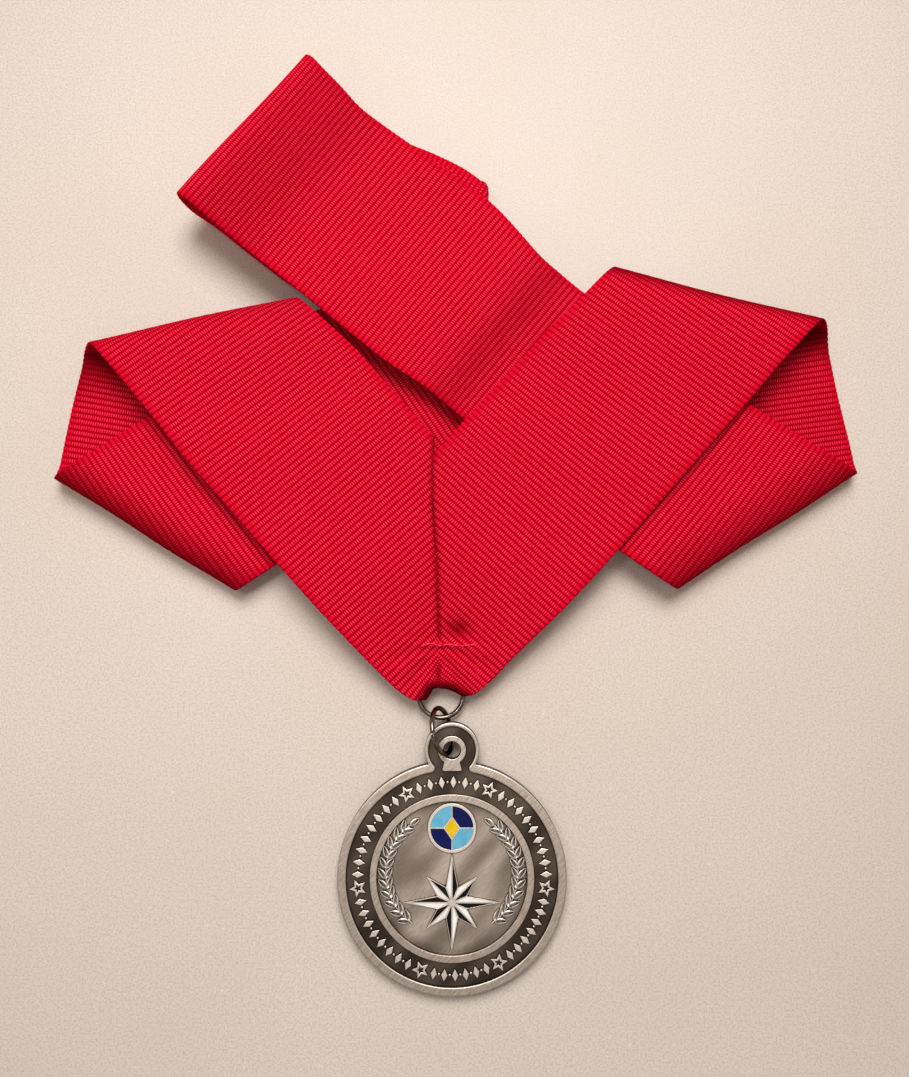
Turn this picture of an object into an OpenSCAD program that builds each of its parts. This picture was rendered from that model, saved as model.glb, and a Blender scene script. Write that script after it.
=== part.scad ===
// Neck award medal: a struck disc on a folded loop of ribbed ribbon, lying face up on a table.
// Millimetres, +Z up, +Y from the disc towards the folded ribbon, origin under the middle of the whole.

/* [Medal] */
// Diameter of the disc
disc_d = 44.4; // [44:0.1:45]
// Thickness at the rims
disc_t = 3; // [2.8:0.1:3.1]
// Depth of the sunk background below the rims
sink = 0.6; // [0.4:0.1:0.8]
// Height of the raised ornament above the background
relief_h = 0.5; // [0.3:0.1:0.6]
// Depth of the enamel cells in the raised emblem
cell_depth = 0.45; // [0.3:0.05:0.5]
// Lean of the disc, its loop end up on the jump ring, in degrees
disc_lean = 2; // [1.8:0.1:2.2]

/* [Rings] */
// Outer diameter of the ring that holds the ribbon
ribbon_ring_d = 9.7; // [9.5:0.1:9.8]
// Outer diameter of the split jump ring
jump_ring_d = 9.8; // [9.7:0.1:9.9]
// Wire of both rings
wire_d = 0.9; // [0.8:0.05:0.95]

/* [Ribbon] */
// Width of the ribbon
ribbon_w = 39; // [38.8:0.1:39.2]
// Wall of the ribbon
ribbon_t = 1; // [0.8:0.1:1]

/* [Hidden] */
half = ribbon_w / 2;

// Middle of the disc's face, seen from the middle of the whole
disc_at = [-1.03, -71.32];

// Ribbon seam, seen from the disc's middle: its mid point, its turn and its rise
seam_mid = [-2.24, 54.26, 8.4];
seam_turn = 0.4;
seam_rise = 3.2;

// Runs of each half of the ribbon, from the seam to the hidden fold behind.
// Columns: length along the middle, steer within the sheet, then the fold that
// ends the run: angle across the ribbon, radius of the roll, turn of the roll.
LENGTH = 0;
STEER = 1;
ANGLE = 2;
RADIUS = 3;
TURN = 4;
left_runs = [
    [76.7, -0.3, 61.4, 4.3, -180.3],
    [47.1, -8.8, 114.8, 2.5, -183.6],
    [83.25, 1.08, 59.2, 0, 0]];
right_runs = [
    [85.8, 0.2, 61.7, 4.9, -183.1],
    [52.2, -9.3, 117.3, 2.7, -179.1],
    [50, 10, 90, 0, 0],
    [44.5, -1.8, 90, 40, 3.8],
    [43.3, 0.4, 90.8, 3.5, -185.7],
    [62.45, 8.94, 126.2, 0, 0]];
// Half angle between each front band and the seam, and the band's rise away from it
left_open = 41.2;
left_bank = 0.3;
right_open = 42.7;
right_bank = -0.2;

// Places where ripples and open folds draw the edges in.
// Columns: along the ribbon, how far the edge is drawn in.
left_outer_waist = [
    [52, 0], [62, 0.5], [74, 0.9], [84, 0.8], [89, 0.3], [98, 0.2], [112, 0]];
left_inner_waist = [[48, 0], [57, 1], [63, 1.5], [70, 1.1], [78, 0]];
right_outer_waist = [
    [30, 0], [50, 0.4], [70, 0.7], [80, 1.1], [89, 1], [97, 0.2], [104, 0.4], [110, 0.55], [116, 0.4], [124, 0],
    [180, 0], [190, 1.6], [197, 2.8], [202, 3.2], [209, 2.8], [218, 1], [223, 0.2], [230, 0.1], [248, 1.7],
    [257, 2.6], [265, 1.1], [273, 0], [286, 0.3], [298, 1.4], [303, 0.6], [307, -0.3], [311, -1.2], [317, -2.05],
    [321, -2.3], [324, -1.95]];
right_inner_waist = [
    [52, 0], [62, 0.5], [70, 0.7], [78, 0], [190, 0], [200, 1.2], [210, 1.25], [220, 0.1], [246, 0.2], [256, 0],
    [280, 0.2], [286, 0.8], [304, 0.6], [312, 1], [321, 1.8], [334, 1], [345, 0]];

// Gathered lower corner of each front band, where it meets the ring.
// Columns: along the band, across the band at its outer edge, along it at its inner edge.
left_corner = [
    [-12.1, 12.7, 22], [-12.7, 15.2, 22.1], [-12.2, 17, 22.2], [-10.6, 17.8, 22.4],
    [-7, 18.5, 23], [0, 18.9, 25], [14, 19.4, 30]];
right_corner = [
    [-11.4, 13.3, 22], [-11.3, 15.6, 22.1], [-10.5, 17.1, 22.2], [-8.6, 17.9, 22.4],
    [-6.2, 18.3, 23], [0, 18.4, 25], [14, 19.3, 30]];
seam_top = 29.1;
seam_foot = -17.4;
dip_depth = 3;
dip_reach = 30;
roll_steps = 10;
run_step = 8;

function rise(a, b, x) = let (k = min(1, max(0, (x - a) / (b - a)))) k * k * (3 - 2 * k);
function unit(v) = v / norm(v);

// Middle line of the ribbon laid flat: rows of length so far, x, y and heading
function advance(k, run, part) =
    let (d = run[LENGTH] * part, a = run[STEER] * part, h = k[3],
         r = a == 0 ? 0 : d / (a * PI / 180))
    a == 0
        ? [k[0] + d, k[1] + d * cos(h), k[2] + d * sin(h), h]
        : [k[0] + d, k[1] + r * (sin(h + a) - sin(h)), k[2] + r * (cos(h) - cos(h + a)), h + a];
function knots(runs, i = 0, k = [0, 0, 0, 0]) =
    i == len(runs) ? [k] : concat([k], knots(runs, i + 1, advance(k, runs[i], 1)));
function flat_point(runs, ks, s, t, i = 0) =
    i < len(runs) - 1 && s > ks[i + 1][0]
        ? flat_point(runs, ks, s, t, i + 1)
        : let (e = advance(ks[i], runs[i], (s - ks[i][0]) / runs[i][LENGTH]))
          [e[1] - t * sin(e[3]), e[2] + t * cos(e[3])];

// Place of the sheet before each fold: an origin and three axes
function put(f, x, y, z) = f[0] + f[1] * x + f[2] * y + f[3] * z;
function turn_vec(f, v) = f[1] * v[0] + f[2] * v[1] + f[3] * v[2];
function fold_dir(ks, runs, i) = let (a = ks[i + 1][3] + runs[i][ANGLE]) [cos(a), sin(a)];
function fold_out(d) = [d[1], -d[0]];
function fold_arc(run) = abs(run[TURN]) * PI / 180 * run[RADIUS];
function beyond(f, c, d, run) =
    let (n = fold_out(d), a = abs(run[TURN]), g = sign(run[TURN]), r = run[RADIUS], w = fold_arc(run),
         nu = turn_vec(f, [n[0] * cos(a), n[1] * cos(a), g * sin(a)]),
         along = turn_vec(f, [d[0], d[1], 0]),
         up = turn_vec(f, [-n[0] * g * sin(a), -n[1] * g * sin(a), cos(a)]),
         arc_end = put(f, c[0] + n[0] * (r * sin(a) - w / 2), c[1] + n[1] * (r * sin(a) - w / 2),
                       g * r * (1 - cos(a))))
    [arc_end - nu * (w / 2 + c * n) - along * (c * d), nu * n[0] + along * d[0], nu * n[1] + along * d[1], up];
function places(f, runs, ks, i = 0) =
    i == len(runs) ? [f]
        : concat([f], places(
            runs[i][TURN] == 0 ? f : beyond(f, [ks[i + 1][1], ks[i + 1][2]], fold_dir(ks, runs, i), runs[i]),
            runs, ks, i + 1));
// Point of the folded sheet and its normal, for a point of the flat sheet
function folded(q, runs, ks, fs, i = 0) =
    i == len(runs) ? [put(fs[i], q[0], q[1], 0), fs[i][3]]
        : runs[i][TURN] == 0 ? folded(q, runs, ks, fs, i + 1)
        : let (d = fold_dir(ks, runs, i), n = fold_out(d), c = [ks[i + 1][1], ks[i + 1][2]],
               u = (q - c) * n, w = fold_arc(runs[i]), r = runs[i][RADIUS], g = sign(runs[i][TURN]))
          u >= w / 2 ? folded(q, runs, ks, fs, i + 1)
        : u <= -w / 2 ? [put(fs[i], q[0], q[1], 0), fs[i][3]]
        : let (a = (u + w / 2) / r * 180 / PI, v = (q - c) * d, p = c + d * v + n * (r * sin(a) - w / 2))
          [put(fs[i], p[0], p[1], g * r * (1 - cos(a))),
           turn_vec(fs[i], [-n[0] * g * sin(a), -n[1] * g * sin(a), cos(a)])];

// Axes of each front band at the seam: along the band, outwards across it, and up
seam_dir = [-sin(seam_turn) * cos(seam_rise), cos(seam_turn) * cos(seam_rise), sin(seam_rise)];
function band_place(side, open, bank) =
    let (flat_out = unit([side * cos(seam_turn), side * sin(seam_turn), 0]),
         out0 = unit(flat_out - seam_dir * (flat_out * seam_dir)),
         up0 = side * cross(out0, seam_dir),
         out = out0 * cos(bank) + up0 * sin(bank),
         along = seam_dir * cos(open) + out * sin(open),
         across = out * cos(open) - seam_dir * sin(open))
    [seam_mid, along, across, side * cross(out, seam_dir)];
function dip(p) =
    p - [0, 0, dip_depth * (1 - rise(0, dip_reach, norm([p[0] - ring_at[0], p[1] - ring_at[1]])))];

// Straight rows across the sheet: along and across at the outer edge, then at the inner edge
function roll_rows(ks, runs, i) =
    let (s = ks[i + 1][0], a = runs[i][ANGLE], w = fold_arc(runs[i]))
    [for (j = [0:roll_steps])
        let (u = (j / roll_steps - 0.5) * w / sin(a))
        [s + u + half / tan(a), half, s + u - half / tan(a), -half]];
function between(a, b) =
    let (n = max(1, ceil(abs(b[0] + b[2] - a[0] - a[2]) / 2 / run_step)))
    [for (j = [1:1:n - 1]) a + (b - a) * j / n];
function joined(rows, i = 0) =
    i >= len(rows) - 1 ? [rows[i]] : concat([rows[i]], between(rows[i], rows[i + 1]), joined(rows, i + 1));
function end_row(ks, runs) =
    let (s = ks[len(runs)][0], a = runs[len(runs) - 1][ANGLE])
    [s + half / tan(a), half, s - half / tan(a), -half];
function half_rows(side, runs, ks) =
    let (corner = [for (r = side < 0 ? left_corner : right_corner) [r[0], r[1], r[2], -half]],
         rolls = [for (i = [0:len(runs) - 1]) if (runs[i][TURN] != 0) each roll_rows(ks, runs, i)])
    joined(concat(corner, rolls, [end_row(ks, runs)]));
function waist(side, t) =
    side < 0 ? (t > 0 ? left_outer_waist : left_inner_waist) : (t > 0 ? right_outer_waist : right_inner_waist);
function drawn_in(side, s, t) = t * (1 - lookup(s, waist(side, t)) / half);
function placed_rows(side, open, bank, runs) =
    let (ks = knots(runs), fs = places(band_place(side, open, bank), runs, ks))
    [for (r = half_rows(side, runs, ks))
        let (o = folded(flat_point(runs, ks, r[0], drawn_in(side, r[0], r[1])), runs, ks, fs),
             n = folded(flat_point(runs, ks, r[2], drawn_in(side, r[2], r[3])), runs, ks, fs))
        [dip(o[0]), dip(n[0]), unit(o[1] + n[1])]];

// Hidden last fold: a bent row of curves from the left half's end to the right half's end
fold_steps = 5;
fold_bulge = 2.2;
function curve(a, b, c, d, k) =
    a * pow(1 - k, 3) + 3 * b * k * pow(1 - k, 2) + 3 * c * k * k * (1 - k) + d * pow(k, 3);
function curve_dir(a, b, c, d, k) =
    (b - a) * pow(1 - k, 2) + 2 * (c - b) * k * (1 - k) + (d - c) * k * k;
function last_fold(a, b, pull) =
    [for (j = [1:fold_steps - 1])
        let (k = j / fold_steps,
             o = curve(a[0], a[0] + pull, b[0] + pull, b[0], k),
             n = curve(a[1], a[1] + pull, b[1] + pull, b[1], k),
             go = curve_dir(a[0], a[0] + pull, b[0] + pull, b[0], k))
        [o, n, unit(cross(n - o, go))]];

// Closed band through rows of outer point, inner point and normal
module band(rows) {
    n = len(rows);
    h = ribbon_t / 2;
    points = [for (r = rows) each [r[0] + r[2] * h, r[1] + r[2] * h, r[1] - r[2] * h, r[0] - r[2] * h]];
    faces = [for (i = [0:n - 1], k = [0:3])
        [4 * i + k, 4 * ((i + 1) % n) + k, 4 * ((i + 1) % n) + (k + 1) % 4, 4 * i + (k + 1) % 4]];
    polyhedron(points, [for (f = faces) each [[f[0], f[1], f[2]], [f[0], f[2], f[3]]]], convexity = 10);
}

module ribbon() {
    left = placed_rows(-1, left_open, left_bank, left_runs);
    right = placed_rows(1, right_open, right_bank, right_runs);
    seam = [[dip(seam_mid + seam_dir * seam_foot), dip(seam_mid + seam_dir * seam_top),
             unit(left[0][2] + right[0][2])]];
    back = last_fold(left[len(left) - 1], right[len(right) - 1], [fold_bulge, 0, 0]);
    color("#d8081f")
        translate(disc_at)
            band(concat(seam, left, back, [for (i = [len(right) - 1:-1:0]) right[i]]));
}

// Point of the ribbon, drawn through its ring and turned up behind
tip_fold_y = 37.9;
tip_half = 2.4;
tip_len = 8;
tip_low = 0.9;
tip_high = 3.2;
module ribbon_tip() {
    roll = (tip_high - tip_low) / 2;
    color("#c4061b")
        translate([disc_at[0] + seam_mid[0], disc_at[1] + tip_fold_y, 0]) {
            translate([0, 0, tip_low - ribbon_t / 2])
                linear_extrude(ribbon_t)
                    polygon([[-tip_half, 0], [tip_half, 0], [0.6, tip_len], [-0.6, tip_len]]);
            translate([-tip_half, 0, tip_low + roll])
                rotate([90, 0, 90])
                    linear_extrude(2 * tip_half)
                        difference() {
                            circle(roll + ribbon_t / 2, $fn = 48);
                            circle(roll - ribbon_t / 2, $fn = 48);
                            translate([0, -2 * tip_high])
                                square(4 * tip_high);
                        }
        }
}

module wire_ring(d, gap = 0) {
    rotate([0, 0, gap / 2])
        rotate_extrude(angle = 360 - gap, $fn = 96)
            translate([(d - wire_d) / 2, 0])
                circle(d = wire_d, $fn = 24);
}

// Middle of the ribbon's ring and of the jump ring, seen from the disc's middle
ring_at = [-2.2, 34.8, 2.35];
jump_at = [-1.91, 28, 4.6];
jump_twist = 67.6;
jump_slant = 12.5;
jump_gap = 4;
jump_split = 178;

module ribbon_ring() {
    color("#6f6a66")
        translate([disc_at[0], disc_at[1], 0] + ring_at)
            wire_ring(ribbon_ring_d);
}

module jump_ring() {
    color("#77716c")
        translate([disc_at[0], disc_at[1], 0] + jump_at)
            rotate([0, jump_twist, jump_slant])
                rotate([0, 0, jump_split])
                    wire_ring(jump_ring_d, jump_gap);
}

// Disc and its ornament, drawn flat and then leaned on the jump ring.
// The loop's back is set in from the disc's, so that the disc's own back is the flat one.
disc_r = disc_d / 2;
rim_in = 20.5;
ring_out = 15.9;
ring_in = 14.6;
lug_y = 24.4;
lug_r = 5.35;
lug_line = 0.75;
lug_back = 0.3;
hole_r = 1.75;
boss_r = 2.75;
// Channel that runs from the border up round the boss, and the boss's foot standing in it
channel_w = 6.6;
foot_y = 20.4;
foot_low_w = 3.8;
foot_top_w = 3.1;
face_z = disc_t - sink;
relief_z = face_z + relief_h;

module leaned() {
    translate([disc_at[0], disc_at[1] - disc_r, 0])
        rotate([disc_lean, 0, 0])
            translate([0, disc_r, 0])
                children();
}

module raised(z = face_z) {
    translate([0, 0, z - 0.2])
        linear_extrude(relief_z - z + 0.2)
            children();
}

module ring_2d(outer, inner) {
    difference() {
        circle(outer, $fn = 180);
        circle(inner, $fn = 180);
    }
}

// Outline of the disc with its loop and the two hollow corners between them
neck_w = 6.6;
neck_y = 22.1;
module outline() {
    circle(disc_r, $fn = 180);
    translate([0, lug_y])
        circle(lug_r, $fn = 96);
    translate([-neck_w / 2, neck_y - 4])
        square([neck_w, 4]);
}

// Five-point star, its rim left standing around a sunk middle
star_out = 1.72;
star_in = 0.78;
star_line = 0.46;
function star(outer, inner) = [for (i = [0:9]) let (r = i % 2 == 0 ? outer : inner) [r * cos(36 * i), r * sin(36 * i)]];
module star_2d() {
    difference() {
        polygon(star(star_out, star_in));
        polygon(star(star_out * star_line, star_in * star_line));
    }
}

// Border: six stars with runs of lozenges and beads between them
band_r = 18.25;
star_at = [118.8, 66.6, -6, -60.5, -109.3, -173.9];
star_gap = 8.2;
bar_pitch = 6.9;
bar_h = 2.4;
bar_w = 1.25;
bead_r = 0.34;
module border_run(a, b) {
    n = round((a - b - 2 * star_gap) / bar_pitch);
    step = (a - b - 2 * star_gap) / n;
    for (i = [0:n])
        rotate(a - star_gap - i * step)
            translate([band_r, 0])
                polygon([[bar_h / 2, 0], [0, bar_w / 2], [-bar_h / 2, 0], [0, -bar_w / 2]]);
    for (i = [0:n - 1])
        rotate(a - star_gap - (i + 0.5) * step)
            translate([band_r, 0])
                circle(bead_r, $fn = 16);
}

// Laurel branch: pairs of pointed leaves along an arc, with a stem
branch_c = [-1.6, 0.9];
branch_r = 11.2;
branch_from = 234;
branch_to = 126;
leaf_pairs = 11;
leaf_l = 2.4;
leaf_w = 1.02;
leaf_out = 33;
function leaf(l, w) = [for (i = [0:4]) [l * i / 4, w / 2 * sin(45 * i)], for (i = [3:-1:1]) [l * i / 4, -w / 2 * sin(45 * i)]];
module branch() {
    translate(branch_c) {
        for (i = [0:leaf_pairs - 1]) {
            a = branch_from + (branch_to - branch_from) * i / leaf_pairs;
            rotate(a)
                translate([branch_r, 0])
                    for (side = [-1, 1])
                        rotate(-90 + side * leaf_out)
                            translate([0.1, 0])
                                polygon(leaf(leaf_l, leaf_w));
        }
        rotate(branch_to)
            translate([branch_r, 0])
                rotate(-90)
                    polygon(leaf(leaf_l, leaf_w));
        difference() {
            circle(branch_r + 0.13, $fn = 120);
            circle(branch_r - 0.13, $fn = 120);
            polygon([[0, 0], [30 * cos(branch_to), 30 * sin(branch_to)], [40, 40], [40, -40],
                     [30 * cos(branch_from + 4), 30 * sin(branch_from + 4)]]);
        }
    }
}

// Compass rose: eight points, each half white and half black
rose_at = [0, -4.6];
rose_long = 9.2;
rose_short = 6.9;
rose_waist = 3.1;
waist_turn = 22.5;
wall = 0.22;
ease = 0.05;
function rose_reach(i) = i % 2 == 0 ? rose_long : rose_short;
function waist_point(a) = rose_waist * [cos(a), sin(a)];
// Triangle of one half of a point, and the same shape with every side moved in by d
function rose_cell(i, side) =
    [[0, 0], waist_point(45 * i + side * waist_turn), rose_reach(i) * [cos(45 * i), sin(45 * i)]];
function sides(p) = [norm(p[1] - p[2]), norm(p[2] - p[0]), norm(p[0] - p[1])];
function shrunk(p, d) =
    let (l = sides(p), sum = l[0] + l[1] + l[2],
         c = (p[0] * l[0] + p[1] * l[1] + p[2] * l[2]) / sum,
         area = abs((p[1][0] - p[0][0]) * (p[2][1] - p[0][1]) - (p[2][0] - p[0][0]) * (p[1][1] - p[0][1])) / 2,
         k = 1 - d * sum / (2 * area))
    [for (v = p) c + (v - c) * k];
module rose_cells(sides, inset) {
    translate(rose_at)
        for (i = [0:7], side = sides)
            polygon(shrunk(rose_cell(i, side), inset));
}
module rose_base() {
    translate(rose_at) {
        for (i = [0:7])
            polygon([waist_point(45 * i - waist_turn), rose_reach(i) * [cos(45 * i), sin(45 * i)],
                     waist_point(45 * i + waist_turn), [0, 0]]);
    }
}

// Roundel above the rose: quarters of two blues with a yellow lozenge over them
roundel_at = [0, 9.5];
roundel_r = 4.7;
roundel_rim = 0.55;
lozenge = [1.35, 1.9];
function diamond(d) = [[lozenge[0] - d, 0], [0, lozenge[1] - d * lozenge[1] / lozenge[0]],
                       [d - lozenge[0], 0], [0, d * lozenge[1] / lozenge[0] - lozenge[1]]];
module quarters(turns, inset) {
    translate(roundel_at)
        for (a = turns)
            rotate(a)
                difference() {
                    intersection() {
                        circle(roundel_r - roundel_rim - inset, $fn = 180);
                        translate([wall / 2 + inset, wall / 2 + inset])
                            square(roundel_r);
                    }
                    rotate(-a)
                        polygon(diamond(-wall * 1.4 - inset));
                }
}

module cells(inset = 0) {
    rose_cells([-1, 1], wall / 2 + inset);
    quarters([0, 90, 180, 270], inset);
    translate(roundel_at)
        polygon(diamond(inset));
}

module medal() {
    color("#a39889")
        leaned() {
            difference() {
                union() {
                    cylinder(h = face_z, r = disc_r, $fn = 180);
                    translate([0, 0, lug_back])
                        linear_extrude(face_z - lug_back)
                            outline();
                    translate([0, 0, face_z - 0.2])
                        linear_extrude(sink + 0.2) {
                            ring_2d(ring_out, ring_in);
                            difference() {
                                outline();
                                circle(rim_in, $fn = 180);
                                translate([0, lug_y])
                                    circle(lug_r - lug_line, $fn = 96);
                                translate([-channel_w / 2, 0])
                                    square([channel_w, lug_y]);
                            }
                            translate([0, lug_y])
                                circle(boss_r, $fn = 60);
                            polygon([[-foot_low_w / 2, foot_y], [foot_low_w / 2, foot_y],
                                     [foot_top_w / 2, lug_y - 2], [-foot_top_w / 2, lug_y - 2]]);
                        }
                    raised() {
                        for (a = star_at)
                            rotate(a)
                                translate([band_r, 0])
                                    star_2d();
                        for (i = [0:5])
                            border_run(star_at[i], i == 5 ? star_at[0] - 360 : star_at[i + 1]);
                        branch();
                        mirror([1, 0])
                            branch();
                        rose_base();
                        translate(roundel_at)
                            circle(roundel_r, $fn = 90);
                    }
                }
                translate([0, lug_y, -1])
                    cylinder(h = disc_t + 2, r = hole_r, $fn = 60);
                translate([0, 0, relief_z - cell_depth])
                    linear_extrude(cell_depth + 1)
                        cells();
            }
        }
}

module enamel() {
    leaned()
        translate([0, 0, relief_z - cell_depth + ease])
            linear_extrude(cell_depth - ease - 0.02)
                children();
}

module enamel_white() {
    color("#f2efea")
        enamel()
            rose_cells([1], wall / 2 + ease);
}

module enamel_black() {
    color("#101012")
        enamel()
            rose_cells([-1], wall / 2 + ease);
}

module enamel_blue() {
    color("#6cb4cf")
        enamel()
            quarters([90, 270], ease);
}

module enamel_navy() {
    color("#0b1552")
        enamel()
            quarters([0, 180], ease);
}

module enamel_yellow() {
    color("#e8c21e")
        enamel()
            translate(roundel_at)
                polygon(diamond(ease));
}

ribbon();
ribbon_tip();
ribbon_ring();
jump_ring();
medal();
enamel_white();
enamel_black();
enamel_blue();
enamel_navy();
enamel_yellow();
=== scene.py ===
"""Looks of a neck award medal on its folded ribbon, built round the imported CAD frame.

Shapes are worked out in millimetres in the part's own frame, and add_piece() turns them into metres.
The ribbon is laid out flat by two coordinates: s along its middle line, and t across it, outwards.
"""

from math import acos, asin, atan2, cos, degrees, pi, radians, sin, sqrt, tan

import bpy
import numpy as np
from mathutils import Matrix, Vector
from mathutils.geometry import tessellate_polygon


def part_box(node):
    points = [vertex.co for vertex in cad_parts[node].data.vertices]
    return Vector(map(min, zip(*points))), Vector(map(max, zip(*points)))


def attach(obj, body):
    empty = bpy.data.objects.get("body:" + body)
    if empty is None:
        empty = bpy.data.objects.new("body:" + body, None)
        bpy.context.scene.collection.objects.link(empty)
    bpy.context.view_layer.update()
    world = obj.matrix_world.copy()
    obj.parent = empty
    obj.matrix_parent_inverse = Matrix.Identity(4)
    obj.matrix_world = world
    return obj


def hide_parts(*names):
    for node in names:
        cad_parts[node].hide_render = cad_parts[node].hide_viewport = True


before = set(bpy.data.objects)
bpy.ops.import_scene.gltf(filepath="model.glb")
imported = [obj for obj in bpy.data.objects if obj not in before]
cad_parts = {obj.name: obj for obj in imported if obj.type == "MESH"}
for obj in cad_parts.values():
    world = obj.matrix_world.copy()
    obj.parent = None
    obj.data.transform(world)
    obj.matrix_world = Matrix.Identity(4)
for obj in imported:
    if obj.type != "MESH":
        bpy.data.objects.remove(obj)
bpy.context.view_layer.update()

MM = 0.001
ROOT = "root"

# Sizes that the CAD source gives
DISC_R, DISC_LEAN = 22.2, 2.0
FACE_Z, RELIEF_Z, RIM_Z = 2.4, 2.9, 3.0
RIM_IN, RING_OUT, RING_IN = 20.5, 15.9, 14.6
LUG_Y, LUG_R, LUG_LINE, LUG_BACK = 24.4, 5.35, 0.75, 0.3
HOLE_R, BOSS_R = 1.75, 2.75
CHANNEL_W, FOOT_Y, FOOT_LOW_W, FOOT_TOP_W = 6.6, 20.4, 3.8, 3.1
WIRE_R = 0.48
RIBBON_W = 39.0
HALF_W = RIBBON_W / 2

low, high = (np.array(corner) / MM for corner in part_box("medal"))
DISC = np.array([(low[0] + high[0]) / 2, low[1] + DISC_R + RIM_Z * sin(radians(DISC_LEAN)), 0.0])


# General helpers

def unit(v):
    return v / np.linalg.norm(v, axis=-1, keepdims=True)


def rise(a, b, x):
    """Smooth step from 0 at a to 1 at b."""
    k = np.clip((x - a) / (b - a), 0, 1)
    return k * k * (3 - 2 * k)


def hill(a, b, c, d, x):
    """Smooth step up from a to b, and down again from c to d."""
    return rise(a, b, x) * (1 - rise(c, d, x))


def bump(x, middle, width):
    return np.exp(-((x - middle) / width) ** 2)


def turned(angle, axis):
    return np.array(Matrix.Rotation(radians(angle), 3, axis))


def placed(name, data):
    """A new object of the scene that shows some data."""
    made = bpy.data.objects.new(name, data)
    bpy.context.scene.collection.objects.link(made)
    return made


def add_piece(name, points, faces, material, replaces=(), layers=None):
    """Makes a piece of the object from points in millimetres. layers are point attributes, or weave UVs."""
    data = bpy.data.meshes.new(name)
    data.from_pydata((np.asarray(points) * MM).tolist(), [], faces)
    data.polygons.foreach_set("use_smooth", [True] * len(data.polygons))
    for key, values in (layers or {}).items():
        if key == "weave":
            corner = np.empty(len(data.loops), np.int32)
            data.loops.foreach_get("vertex_index", corner)
            values = values[corner].astype(np.float32)
            data.uv_layers.new(name=key).data.foreach_set("uv", values.ravel())
        else:
            layer = data.attributes.new(key, "FLOAT_VECTOR", "POINT")
            layer.data.foreach_set("vector", values.astype(np.float32).ravel())
    data.materials.append(material)
    data.validate()
    data.update()
    piece = placed(name, data)
    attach(piece, ROOT)
    if replaces:
        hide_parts(*replaces)
    return piece


def grid_faces(rows, columns, around=False, closed=False):
    """Quads over rows of points. around joins the last row to the first, closed does so for columns."""
    faces = []
    for i in range(rows if around else rows - 1):
        a, b = i * columns, (i + 1) % rows * columns
        for j in range(columns if closed else columns - 1):
            k = (j + 1) % columns
            faces.append((a + j, a + k, b + k, b + j))
    return faces


def flipped(faces):
    return [face[::-1] for face in faces]


def tube_faces(rows, sides, ring=False):
    """Faces of a tube of rows of points. Both its ends are closed, unless it is a ring."""
    faces = grid_faces(rows, sides, around=ring, closed=True)
    if not ring:
        end = (rows - 1) * sides
        faces += [tuple(range(sides))[::-1], tuple(range(end, end + sides))]
    return flipped(faces)


def tube_points(middle, side, up, thick, sides):
    """Points round a middle line. side and up are square to it, and thick is the radius along it."""
    b = np.arange(sides)[:, None] * 2 * pi / sides
    ring = side[:, None] * np.cos(b) + up[:, None] * np.sin(b)
    return (middle[:, None] + ring * thick[:, None, None]).reshape(-1, 3)


# Materials

class Shade:
    """A material on the Principled shader, with its nodes added one call at a time."""

    def __init__(self, name, **values):
        self.material = bpy.data.materials.new(name)
        self.material.use_nodes = True
        self.tree = self.material.node_tree
        self.shader = self.tree.nodes["Principled BSDF"]
        for key, value in values.items():
            self.put(key.replace("_", " "), value)

    def put(self, socket, value):
        """Sets or links an input of the shader."""
        self.fill(self.shader.inputs[socket], value)

    def fill(self, socket, value):
        if isinstance(value, bpy.types.NodeSocket):
            self.tree.links.new(value, socket)
        else:
            socket.default_value = value

    def node(self, kind, inputs=(), **settings):
        made = self.tree.nodes.new("ShaderNode" + kind)
        for key, value in settings.items():
            setattr(made, key, value)
        for key, value in dict(inputs).items():
            self.fill(made.inputs[key], value)
        return made

    def here(self):
        return self.node("TexCoord").outputs["Object"]

    def attribute(self, name):
        return self.node("Attribute", attribute_name=name).outputs["Vector"]

    def math(self, operation, a, b=0.0):
        return self.node("Math", {0: a, 1: b}, operation=operation).outputs[0]

    def times(self, value, *others):
        for other in others:
            value = self.math("MULTIPLY", value, other)
        return value

    def plus(self, a, b):
        return self.math("ADD", a, b)

    def span(self, value, low, high, to_low=0.0, to_high=1.0):
        """value from low..high taken smoothly to to_low..to_high."""
        names = {"Value": value, "From Min": low, "From Max": high, "To Min": to_low, "To Max": to_high}
        return self.node("MapRange", names, interpolation_type="SMOOTHSTEP").outputs[0]

    def mix(self, factor, a, b):
        """Colour from a to b, each a socket or a screen colour."""
        a, b = (colour(end) if isinstance(end, str) else end for end in (a, b))
        return self.node("Mix", {0: factor, 6: a, 7: b}, data_type="RGBA").outputs[2]

    def split(self, vector):
        return self.node("SeparateXYZ", {0: vector}).outputs

    def join(self, x, y, z=0.0):
        return self.node("CombineXYZ", {0: x, 1: y, 2: z}).outputs[0]

    def noise(self, vector, scale, detail=2.0, roughness=0.5):
        names = {"Vector": vector, "Scale": scale, "Detail": detail, "Roughness": roughness}
        return self.node("TexNoise", names).outputs[0]

    def bumps(self, height, depth, strength=1.0):
        names = {"Strength": strength, "Distance": depth * MM, "Height": height}
        self.put("Normal", self.node("Bump", names).outputs[0])


def colour(code):
    """Linear colour of a six-figure screen colour."""
    parts = [int(code[i:i + 2], 16) / 255 for i in (0, 2, 4)]
    return tuple(c / 12.92 if c <= 0.04045 else ((c + 0.055) / 1.055) ** 2.4 for c in parts) + (1.0,)


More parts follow.
